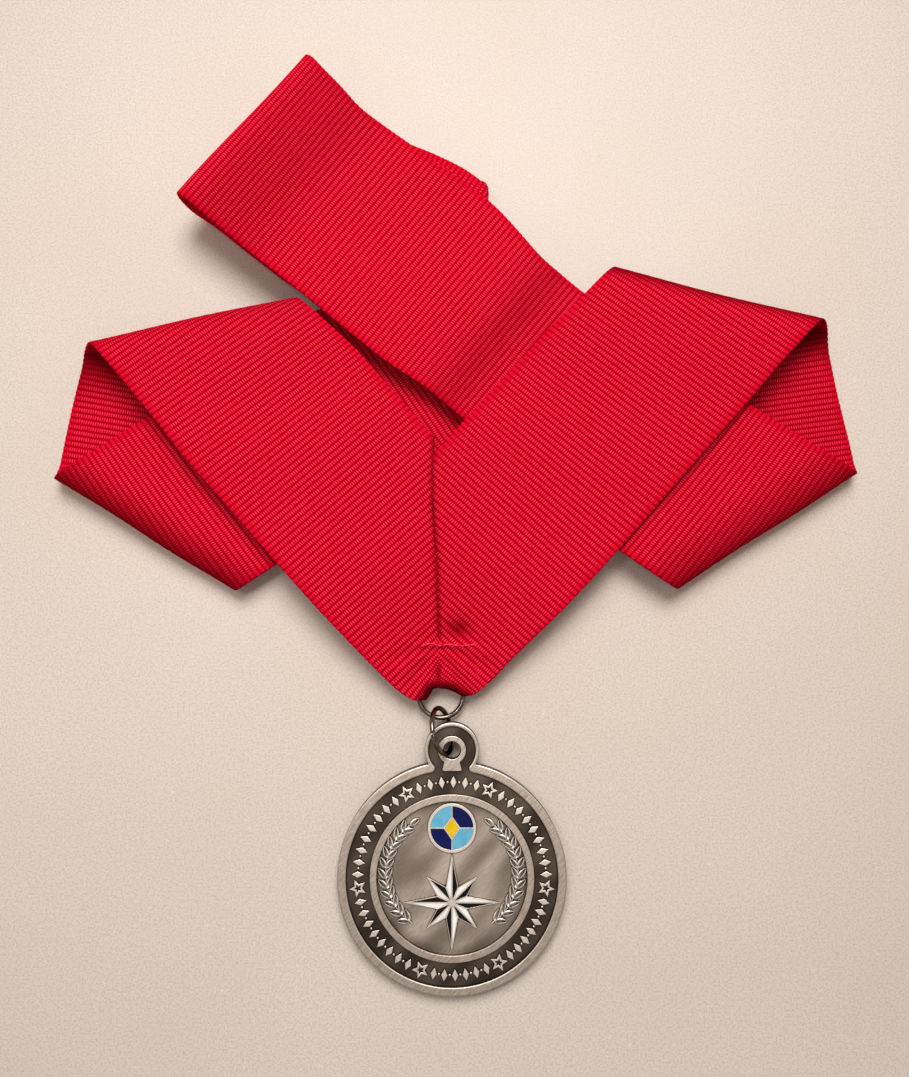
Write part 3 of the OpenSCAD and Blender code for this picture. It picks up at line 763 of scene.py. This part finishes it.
def tip_piece(material):
    """Sewn point of the ribbon: over the ring's wire, down through the ring and up behind."""
    roll_r, low_z, fold_y, back = 1.3, 1.0, 39.25, 8.0
    wide, narrow, droop = 2.6, 0.8, 0.9
    start, steps, sides = -1.2, 30, 13
    arc = pi * roll_r
    run = np.linspace(start, arc + back, steps)
    a = np.clip(run / roll_r, 0, pi)
    on_back = np.clip(run - arc, 0, None)
    y = fold_y - roll_r * np.sin(a) + on_back + np.clip(-run, 0, None)
    z = low_z + roll_r + roll_r * np.cos(a)
    half = wide + (narrow - wide) * rise(0, back, on_back)
    rib = np.abs(np.sin(run / RIB_PITCH * pi))
    tilt = np.stack([np.zeros(steps), -np.sin(a), np.cos(a)], -1)
    rows, weave = [], []
    for i in range(steps):
        x = np.linspace(-half[i], half[i], sides)
        sag = droop * (x / wide) ** 2 * (1 - rise(0, back, on_back[i]))
        middle = np.stack([x, y[i] - sag, np.full(sides, z[i])], -1)
        wall = tilt[i] * (WALL_LOW + 0.5 * RIB_HIGH * rib[i])
        rows += [middle + wall, (middle - wall)[::-1]]
        line = np.stack([np.full(sides, run[i] / RIB_PITCH), x / THREAD_PITCH], -1)
        weave += [line, line[::-1]]
    points = np.concatenate(rows) + [SEAM_MID[0], DISC[1], DISC[2]]
    return add_piece("ribbon_tip_cloth", points, tube_faces(steps, 2 * sides), material,
                     replaces=["ribbon_tip"], layers={"weave": np.concatenate(weave)})


def stitch_piece(strip, material):
    """Short hand stitches across the seam above the ring."""
    stitch_long, stitch_r, sides, rings, ribs_per_mm = 1.15, 0.17, 6, 7, 1.7
    starts = (-3.8, -2.8, -1.7, -0.6, 0.5, 1.6, 2.7, 3.8, 4.8, 5.9)
    part = np.linspace(0, 1, rings)
    thick = stitch_r * np.sin(pi * (0.12 + 0.76 * part))
    points, faces = [], []
    for start in starts:
        middle = []
        for k in part:
            across = start + stitch_long * k
            half = strip.left if across < 0 else strip.right
            out = abs(across) - half.side * lookup(STITCH_UP, SEAM_DRIFT)
            up = half.stitch_line(out) + 0.15 * sin(start * 7 + 3 * k)
            s, t = half.seamwise(out, up)
            p, n = half.at(np.array([s]), np.array([t]))
            middle.append(p[0] + n[0] * (WALL_LOW + RIB_HIGH - 0.1 + 0.12 * sin(pi * k)))
        middle = np.array(middle)
        ahead = unit(np.gradient(middle, axis=0))
        side = unit(np.cross(ahead, [0, 0, 1]))
        first = len(points) * rings * sides
        points.append(tube_points(middle, side, np.cross(side, ahead), thick, sides))
        faces += [tuple(first + i for i in face) for face in tube_faces(rings, sides)]
    points = np.concatenate(points)
    weave = np.stack([points[:, 0] * ribs_per_mm, np.full(len(points), HALF_W / THREAD_PITCH)], -1)
    return add_piece("seam_stitches", points, faces, material, layers={"weave": weave})


# Rings

RIBBON_RING_R, JUMP_RING_R = 4.4, 4.45
JUMP_AT = DISC + np.array([-1.91, 28.0, 4.6])
JUMP_TWIST, JUMP_SLANT, JUMP_SPLIT, JUMP_GAP = 67.6, 12.5, 178.0, 4.0


def wire_ring(name, radius, middle, turn, gap, node, material):
    """A ring of round wire, cut open with narrower ends where it has a gap in degrees."""
    steps, sides = 120, 20
    a = np.radians(np.linspace(gap / 2, 360 - gap / 2, steps, endpoint=gap > 0))
    out = np.stack([np.cos(a), np.sin(a), np.zeros(steps)], -1)
    thick = np.full(steps, WIRE_R)
    if gap:
        thick[[0, -1]] *= 0.9
    up = np.broadcast_to([0.0, 0.0, 1.0], out.shape)
    points = tube_points(radius * out, out, up, thick, sides) @ turn.T + middle
    faces = tube_faces(steps, sides, ring=not gap)
    return add_piece(name, points, faces, material, replaces=[node])


# Medal

BAND_R = 18.25
STAR_OUT, STAR_IN, STAR_LINE = 1.72, 0.78, 0.46
STARS_AT = (118.8, 66.6, -6.0, -60.5, -109.3, -173.9)
STAR_GAP, LOZENGE_PITCH = 8.2, 6.9
LOZENGE_LONG, LOZENGE_WIDE = 2.4, 1.25
BEAD_R, BEAD_TALL = 0.34, 0.42
BRANCH_AT, BRANCH_R, BRANCH_THICK = np.array([-1.6, 0.9]), 11.2, 0.26
BRANCH_FROM, BRANCH_TO, LEAF_PAIRS = 234.0, 126.0, 11
LEAF_LONG, TIP_LEAF_LONG, LEAF_WIDE, LEAF_OUT = 2.5, 2.4, 1.2, 33.0
ROSE_AT = np.array([0, -4.6])
ROSE_POINTS, ROSE_WAIST = (9.2, 6.9), 3.1
POINT_TURN, WAIST_TURN = 45.0, 22.5
ROUNDEL_AT, ROUNDEL_R, ROUNDEL_RIM = np.array([0, 9.5]), 4.7, 0.55
LOZENGE_CELL = np.array([1.35, 1.9])
CELL_WALL, CELL_DEPTH, CELL_PLAY = 0.22, 0.45, 0.02
# Relief starts a little below the face that it stands on.
SUNK_Z, ROOT_Z = FACE_Z - 0.1, FACE_Z - 0.05
# Section of a leaf. Columns: place across it from edge to edge, share of its height.
LEAF_SECTION = ((-1.0, 0.0), (-0.92, 0.95), (-0.85, 1.0), (-0.46, 1.0), (-0.3, 0.35),
                (0.3, 0.35), (0.46, 1.0), (0.85, 1.0), (0.92, 0.95), (1.0, 0.0))


def circle(radius, steps=180, middle=(0, 0), start=0.0, stop=360.0):
    """Points of a circle, or of an arc of it, going round anticlockwise."""
    full = abs(stop - start) >= 360
    a = np.radians(np.linspace(start, stop, steps, endpoint=not full))
    return np.stack([np.cos(a), np.sin(a)], -1) * radius + middle


def spun(points, angle):
    c, s = cos(radians(angle)), sin(radians(angle))
    return np.asarray(points, float) @ np.array([[c, s], [-s, c]])


def spoke(reach, angle):
    """The point that far from the middle, in a direction in degrees."""
    return spun([reach, 0], angle)


def moved_in(loop, d):
    """An outline with its sides moved into the metal by d. Outlines go anticlockwise, holes clockwise."""
    before, after = unit(loop - np.roll(loop, 1, 0)), unit(np.roll(loop, -1, 0) - loop)
    n_before = np.stack([-before[:, 1], before[:, 0]], -1)
    n_after = np.stack([-after[:, 1], after[:, 0]], -1)
    share = np.maximum(1 + (n_before * n_after).sum(-1, keepdims=True), 0.35)
    return loop + (n_before + n_after) / share * d


class Relief:
    """Points and faces of the struck medal, flat, seen from its disc's middle."""

    def __init__(self):
        self.points, self.faces = [], []

    def add(self, points, faces):
        first = len(self.points)
        self.points += [tuple(p) for p in points]
        self.faces += [tuple(first + i for i in face) for face in faces]

    def slab(self, loops, z0, z1, ease=0.08, foot=0.0):
        """Metal between two heights, inside the first outline and outside the others, with eased edges."""
        levels = [(foot, z0), (0, z0 + foot)] if foot else [(0, z0)]
        if ease:
            levels += [(0, z1 - ease), (0.3 * ease, z1 - 0.3 * ease), (ease, z1), (1.4 * ease, z1)]
        else:
            levels.append((0, z1))
        count = sum(len(loop) for loop in loops)
        points, faces = [], []
        for d, z in levels:
            for loop in loops:
                points += [(x, y, z) for x, y in moved_in(loop, d)]
        start = 0
        for loop in loops:
            n = len(loop)
            for k in range(len(levels) - 1):
                a, b = k * count + start, (k + 1) * count + start
                faces += [(a + j, a + (j + 1) % n, b + (j + 1) % n, b + j) for j in range(n)]
            start += n
        for level, flip in ((0, True), (len(levels) - 1, False)):
            d = levels[level][0]
            flat = [[Vector((x, y, 0)) for x, y in moved_in(loop, d)] for loop in loops]
            for a, b, c in tessellate_polygon(flat):
                corners = np.array([points[level * count + i][:2] for i in (a, b, c)])
                side = np.cross(corners[1] - corners[0], corners[2] - corners[0])
                face = (a, b, c) if (side > 0) != flip else (c, b, a)
                faces.append(tuple(level * count + i for i in face))
        self.add(points, faces)

    def dome(self, middle, radius, z0, height, sides=16, rings=5):
        points = []
        for i in range(rings):
            a = radians(90 * i / rings)
            points += [(x, y, z0 + height * sin(a)) for x, y in circle(radius * cos(a), sides, middle)]
        points.append((*middle, z0 + height))
        faces = grid_faces(rings, sides, closed=True)
        top = (rings - 1) * sides
        faces += [(top + j, top + (j + 1) % sides, rings * sides) for j in range(sides)]
        faces.append(tuple(range(sides))[::-1])
        self.add(points, faces)

    def leaf(self, root, angle, long):
        """A pointed leaf with a raised edge round a sunk middle."""
        stations, n = 9, len(LEAF_SECTION)
        tall = RELIEF_Z - FACE_Z + 0.03
        flat, heights = [], []
        for k in np.linspace(0, 1, stations):
            half = LEAF_WIDE / 2 * sin(pi * k ** 0.85) ** 0.8 + 0.02
            sunk = hill(0.0, 0.28, 0.8, 1.0, k)
            for place, share in LEAF_SECTION:
                flat.append((long * k, half * place))
                heights.append(ROOT_Z + tall * (1 - (1 - share) * sunk if share else 0.0))
        points = [(x, y, z) for (x, y), z in zip(spun(flat, angle) + root, heights)]
        faces = flipped(grid_faces(stations, n))
        end = stations * n
        faces += [tuple(range(n)), tuple(range(end - n, end))[::-1]]
        faces.append((*range(n - 1, end, n), *range(end - n, -1, -n)))
        self.add(points, faces)

    def mirrored_from(self, first_point, first_face):
        """Adds the mirror image, left to right, of everything added since."""
        points = [(-x, y, z) for x, y, z in self.points[first_point:]]
        self.add(points, flipped(tuple(i - first_point for i in face) for face in self.faces[first_face:]))

    def piece(self, name, material, slot, node, crisp):
        """Makes the piece in place of a node, with its edges kept crisp above an angle in degrees."""
        flat = np.array(self.points)
        made = add_piece(name, leaned(flat), self.faces, material, [node], {"flat": flat})
        made.data.set_sharp_from_angle(angle=radians(crisp))


def leaned(points):
    """Flat medal points set down on the bottom rim, with the loop end up on the jump ring."""
    hinge = np.array([0, -DISC_R, 0])
    return (points - hinge) @ turned(DISC_LEAN, "X").T + hinge + DISC


def star(outer, inner):
    return np.array([spoke(inner if i % 2 else outer, 36 * i) for i in range(10)])


def diamond(long, wide):
    return np.array([[long / 2, 0], [0, wide / 2], [-long / 2, 0], [0, -wide / 2]])


def rose_cells(inset):
    """The compass rose's sixteen triangles, moved in from their walls, each with the side that it is on."""
    cells = []
    for i in range(8):
        tip = spoke(ROSE_POINTS[i % 2], POINT_TURN * i)
        for side in (-1, 1):
            waist = spoke(ROSE_WAIST, POINT_TURN * i + side * WAIST_TURN)
            cell = np.array([[0, 0], tip, waist] if side > 0 else [[0, 0], waist, tip])
            lengths = np.linalg.norm(np.roll(cell, -1, 0) - np.roll(cell, 1, 0), axis=1)
            area = abs(np.cross(cell[1] - cell[0], cell[2] - cell[0])) / 2
            middle = (cell * lengths[:, None]).sum(0) / lengths.sum()
            shrink = 1 - inset * lengths.sum() / (2 * area)
            cells.append((side, middle + (cell - middle) * shrink + ROSE_AT))
    return cells


def roundel_cells(inset):
    """Outlines of the roundel's four quarters, and of the lozenge that they go round."""
    reach = ROUNDEL_R - ROUNDEL_RIM - inset
    edge = CELL_WALL / 2 + inset
    slant = np.array([1, LOZENGE_CELL[1] / LOZENGE_CELL[0]])
    hold = LOZENGE_CELL + (CELL_WALL * 1.4 + inset) * slant
    start = degrees(asin(edge / reach))
    arc = circle(reach, 24, start=start, stop=90 - start)
    quarters = []
    for i in range(4):
        wide, tall = hold[::-1] if i % 2 else hold
        near = [[edge, tall * (1 - edge / wide)], [wide * (1 - edge / tall), edge]]
        quarters.append(spun(np.concatenate([arc, near]), 90 * i) + ROUNDEL_AT)
    return quarters, diamond(*(LOZENGE_CELL - inset * slant) * 2) + ROUNDEL_AT


def plate_outline():
    """Outline of the disc and its loop, anticlockwise, with hollow corners where they meet."""
    meet = (LUG_Y ** 2 + DISC_R ** 2 - LUG_R ** 2) / (2 * LUG_Y)
    side = sqrt(DISC_R ** 2 - meet ** 2)
    disc_angle = degrees(atan2(meet, side))
    lug_angle = degrees(atan2(meet - LUG_Y, side))
    disc = circle(DISC_R, 200, start=180 - disc_angle, stop=360 + disc_angle)
    lug = circle(LUG_R, 80, (0, LUG_Y), lug_angle, 180 - lug_angle)
    return np.concatenate([disc, lug[1:-1]])


def keyhole():
    """Sunk field inside the rim, with the channel that leads up round the boss, anticlockwise."""
    half, blend, lug_in = CHANNEL_W / 2, 0.8, LUG_R - LUG_LINE
    shoulder = half + blend
    side = degrees(acos(shoulder / RIM_IN))
    low_y = sqrt(RIM_IN ** 2 - shoulder ** 2) + blend
    turn = degrees(asin(half / lug_in))
    return np.concatenate([
        circle(RIM_IN, 200, start=180 - side, stop=360 + side),
        circle(blend, 6, (shoulder, low_y), -90, -180)[1:],
        circle(lug_in, 80, (0, LUG_Y), turn - 90, 270 - turn),
        circle(blend, 6, (-shoulder, low_y), 0, -90)[:-1]])


def boss_outline():
    """Ring round the hole, standing on its foot, anticlockwise."""
    low, corner = FOOT_LOW_W / 2, 0.35
    turn = degrees(acos(FOOT_TOP_W / 2 / BOSS_R))
    return np.concatenate([
        circle(corner, 5, (corner - low, FOOT_Y + corner), 180, 270),
        circle(corner, 5, (low - corner, FOOT_Y + corner), 270, 360),
        circle(BOSS_R, 60, (0, LUG_Y), -turn, 180 + turn)])


def border(relief):
    """Six stars round the band, with lozenges and beads by turns from each to the next."""
    for a, b in zip(STARS_AT, (*STARS_AT[1:], STARS_AT[0] - 360)):
        middle = spoke(BAND_R, a)
        outer = spun(star(STAR_OUT, STAR_IN), a) + middle
        hole = spun(star(STAR_OUT * STAR_LINE, STAR_IN * STAR_LINE), a)[::-1] + middle
        relief.slab([outer, hole], SUNK_Z, RELIEF_Z, 0.07)
        room = a - b - 2 * STAR_GAP
        count = round(room / LOZENGE_PITCH)
        step = room / count
        for k in range(count + 1):
            turn = a - STAR_GAP - k * step
            lozenge = spun(diamond(LOZENGE_LONG, LOZENGE_WIDE) + [BAND_R, 0], turn)
            relief.slab([lozenge], SUNK_Z, RELIEF_Z, 0.1)
            if k < count:
                relief.dome(spoke(BAND_R, turn - step / 2), BEAD_R, ROOT_Z, BEAD_TALL)


def laurel(relief):
    """Left laurel branch and its mirror image."""
    first_point, first_face = len(relief.points), len(relief.faces)
    for i in range(LEAF_PAIRS):
        a = BRANCH_FROM + (BRANCH_TO - BRANCH_FROM) * i / LEAF_PAIRS
        for side in (-1, 1):
            relief.leaf(BRANCH_AT + spoke(BRANCH_R, a), a - 90 + side * LEAF_OUT, LEAF_LONG)
    relief.leaf(BRANCH_AT + spoke(BRANCH_R, BRANCH_TO), BRANCH_TO - 90, TIP_LEAF_LONG)
    outer, inner = (circle(BRANCH_R + side * BRANCH_THICK / 2, 40, BRANCH_AT, BRANCH_TO, BRANCH_FROM + 4)
                    for side in (1, -1))
    relief.slab([np.concatenate([outer, inner[::-1]])], SUNK_Z, RELIEF_Z - 0.2, 0.06)
    relief.mirrored_from(first_point, first_face)


def emblem(relief):
    """Metal walls of the compass rose and of the roundel, with a hole for each enamel cell."""
    rose = []
    for i in range(8):
        rose += [spoke(ROSE_WAIST, POINT_TURN * i - WAIST_TURN), spoke(ROSE_POINTS[i % 2], POINT_TURN * i)]
    holes = [cell[::-1] for _, cell in rose_cells(CELL_WALL / 2)]
    relief.slab([np.array(rose) + ROSE_AT, *holes], SUNK_Z, RELIEF_Z, 0.02)
    quarters, lozenge = roundel_cells(0.0)
    holes = [outline[::-1] for outline in (*quarters, lozenge)]
    relief.slab([circle(ROUNDEL_R, 120, ROUNDEL_AT), *holes], SUNK_Z, RELIEF_Z + 0.02, 0.04)


def medal_piece(material):
    relief = Relief()
    outline = plate_outline()
    hole = circle(HOLE_R, 48, (0, LUG_Y))[::-1]
    relief.slab([circle(DISC_R)], 0.0, LUG_BACK, ease=0.0, foot=0.25)
    relief.slab([outline, hole], LUG_BACK, FACE_Z, ease=0.0)
    relief.slab([outline, keyhole()[::-1]], FACE_Z, RIM_Z, 0.22)
    relief.slab([circle(RING_OUT), circle(RING_IN)[::-1]], FACE_Z, RIM_Z)
    relief.slab([boss_outline(), hole], FACE_Z, RIM_Z, 0.1)
    border(relief)
    laurel(relief)
    emblem(relief)
    relief.piece("medal_metal", material, "antique_silver", "medal", crisp=38)


def enamel_piece(name, outlines, material, slot, node):
    """Enamel fillings with eased edges, each inside its cell."""
    relief = Relief()
    for outline in outlines:
        relief.slab([outline], RELIEF_Z - CELL_DEPTH, RELIEF_Z - 0.03, 0.05)
    relief.piece(name, material, slot, node, crisp=50)


# Stage

CAMERA_AT = np.array([0.49, 44.09, 200.04]) + DISC
CAMERA_TILT = 6.35
LENS_MM, SENSOR_MM = 32.92, 36.0
WORLD_TINT, WORLD_STRENGTH = (1.0, 0.93, 0.87, 1.0), 0.3
# Columns: name, place and aim in metres, size in metres, watts, spread in degrees, colour
LIGHTS = (
    ("key", (0.01, 0.28, 0.50), (-0.01, 0.01, 0.0), 0.34, 0.71, 80, (1.0, 0.985, 0.975)),
    ("glint", (-0.14, 0.03, 0.42), (-0.05, -0.02, 0.0), 0.07, 0.07, 110, (1.0, 0.96, 0.93)),
    ("overhead", (0.06, -0.17, 0.60), (0.0, -0.04, 0.0), 0.34, 0.10, 150, (1.0, 0.87, 0.79)))


def stage():
    bpy.ops.mesh.primitive_plane_add(size=4.0, location=(0, 0, 0))
    floor = bpy.context.object
    floor.name = "floor"
    floor.data.materials.append(pale_stone())

    camera = placed("camera", bpy.data.cameras.new("camera"))
    camera.data.lens = LENS_MM
    camera.data.sensor_width = SENSOR_MM
    camera.data.clip_start = 0.01
    camera.location = Vector(CAMERA_AT * MM)
    camera.rotation_euler = (radians(CAMERA_TILT), 0, 0)
    bpy.context.scene.camera = camera

    for name, place, aim, size, watts, spread, tint in LIGHTS:
        lamp = bpy.data.lights.new(name, "AREA")
        lamp.shape, lamp.size, lamp.energy, lamp.color = "DISK", size, watts, tint
        lamp.spread = radians(spread)
        holder = placed(name, lamp)
        holder.location = place
        holder.rotation_euler = (Vector(aim) - Vector(place)).to_track_quat("-Z", "Y").to_euler()

    world = bpy.data.worlds.new("studio")
    bpy.context.scene.world = world
    world.use_nodes = True
    background = world.node_tree.nodes["Background"]
    background.inputs["Color"].default_value = WORLD_TINT
    background.inputs["Strength"].default_value = WORLD_STRENGTH
    bpy.context.scene.view_settings.view_transform = "Standard"


def build():
    cloth = ribbed_cloth()
    strip = Strip()
    ribbon = ribbon_piece(strip, cloth)
    tip = tip_piece(cloth)
    stitches = stitch_piece(strip, bright_thread())

    nickel = dark_nickel()
    wire_ring("ribbon_ring_wire", RIBBON_RING_R, RING_AT, np.eye(3), 0.0, "ribbon_ring", nickel)
    jump_turn = turned(JUMP_SLANT, "Z") @ turned(JUMP_TWIST, "Y") @ turned(JUMP_SPLIT, "Z")
    wire_ring("jump_ring_wire", JUMP_RING_R, JUMP_AT, jump_turn, JUMP_GAP, "jump_ring", nickel)
    medal_piece(antique_silver())

    cells = rose_cells(CELL_WALL / 2 + CELL_PLAY)
    quarters, lozenge = roundel_cells(CELL_PLAY)
    # Columns: colour word, main colour, shade, outlines
    fillings = (
        ("white", "F4F1EC", "E9E5DE", [cell for side, cell in cells if side > 0]),
        ("black", "0A0A0B", "111011", [cell for side, cell in cells if side < 0]),
        ("blue", "6CB4CF", "5CA6C4", quarters[1::2]),
        ("navy", "0B1552", "0A1146", quarters[0::2]),
        ("yellow", "E8C21E", "DDB412", [lozenge]))
    for word, main, shade, outlines in fillings:
        slot = "enamel_" + word
        enamel_piece(slot + "_fill", outlines, gloss_enamel(slot, main, shade), slot, slot)


build()
stage()
